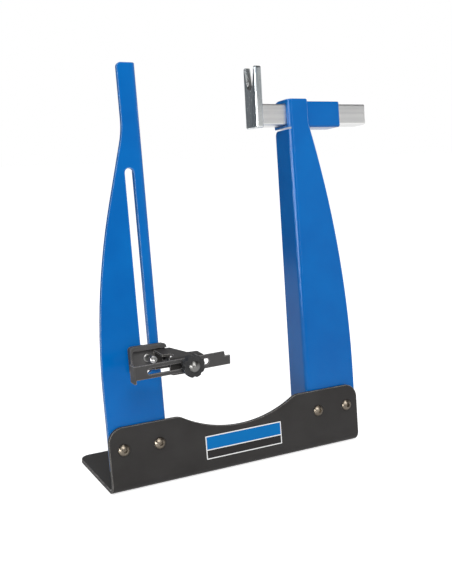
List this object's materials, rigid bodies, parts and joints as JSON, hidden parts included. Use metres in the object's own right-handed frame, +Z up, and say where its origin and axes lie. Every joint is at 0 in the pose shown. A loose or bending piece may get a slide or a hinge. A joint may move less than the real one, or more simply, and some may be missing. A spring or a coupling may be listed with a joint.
{
  "type": "bicycle wheel truing stand",
  "caption": "Bicycle wheel truing stand: folded steel base, two leaning uprights with V notches for the axle, a sliding square-tube axle support and a sliding rim gauge with a knob.",
  "frame": {"origin": "middle of the foot's underside, on the bench top", "axes": "+Z up, +X to the right along the base when seen from the front, where the flange and the rim gauge are, +Y to the rear; the flange and the uprights lean 8.33 degrees towards +Y"},
  "size_m": [0.3898, 0.167, 0.4755],
  "materials": {
    "black_powder_coat": "satin black powder coat on steel",
    "blue_powder_coat": "gloss blue powder coat on steel",
    "label_film": "plain printed film: a blue band over a black band, thin white border",
    "dark_nickel": "dark nickel plated steel",
    "zinc_plated_steel": "bright zinc plated steel",
    "black_oxide_steel": "black oxide steel",
    "brass_insert": "machined brass",
    "black_plastic": "moulded black nylon, fine matt grain",
    "nylon": "natural nylon"
  },
  "bodies": {
    "stand": {"base_plate": "black_powder_coat", "front_label": "label_film", "base_screws": "dark_nickel", "base_nuts": "dark_nickel", "left_upright": "blue_powder_coat", "right_upright": "blue_powder_coat", "sleeve_tube": "blue_powder_coat", "drag_pad": "nylon", "drag_screw": "black_oxide_steel", "drag_locknut": "zinc_plated_steel"},
    "slider": {"slider_tube": "zinc_plated_steel", "slider_dropout": "zinc_plated_steel", "slider_plug": "black_plastic"},
    "gauge": {"gauge_bracket": "black_powder_coat", "slot_guide": "nylon", "clamp_bolt": "zinc_plated_steel", "clamp_washer": "zinc_plated_steel", "gauge_arm": "black_powder_coat", "arm_rivets": "black_oxide_steel", "blade_bolt": "black_oxide_steel", "blade_washer": "zinc_plated_steel"},
    "clamp_knob": {"clamp_knob": "black_plastic", "clamp_knob_insert": "brass_insert"},
    "blade_guide": {"blade_guide": "black_oxide_steel"},
    "blade": {"gauge_blade": "black_powder_coat"},
    "star_knob": {"star_knob": "black_plastic", "star_knob_insert": "brass_insert", "star_knob_cap": "dark_nickel"}
  },
  "joints": [
    {"name": "slider_slide", "type": "slide", "parent": "stand", "child": "slider", "axis": [1, 0, 0], "range_m": [-0.073, 0.032]},
    {"name": "gauge_slide", "type": "slide", "parent": "stand", "child": "gauge", "axis": [0, 0.1449, 0.9894], "range_m": [-0.008, 0.203]},
    {"name": "clamp_knob_turn", "type": "hinge", "parent": "gauge", "child": "clamp_knob", "pos_m": [-0.1157, -0.03973, 0.15109], "axis": [0, 0.9894, -0.1449], "continuous": true},
    {"name": "blade_pivot", "type": "hinge", "parent": "gauge", "child": "blade_guide", "pos_m": [-0.0858, -0.08605, 0.1523], "axis": [0, 1, 0], "range_deg": [-60, 60]},
    {"name": "blade_slide", "type": "slide", "parent": "blade_guide", "child": "blade", "axis": [0.9998, 0, 0.0209], "range_m": [-0.016, 0.038]},
    {"name": "star_knob_turn", "type": "hinge", "parent": "gauge", "child": "star_knob", "pos_m": [-0.0858, -0.08605, 0.1523], "axis": [0, 1, 0], "continuous": true}
  ]
}
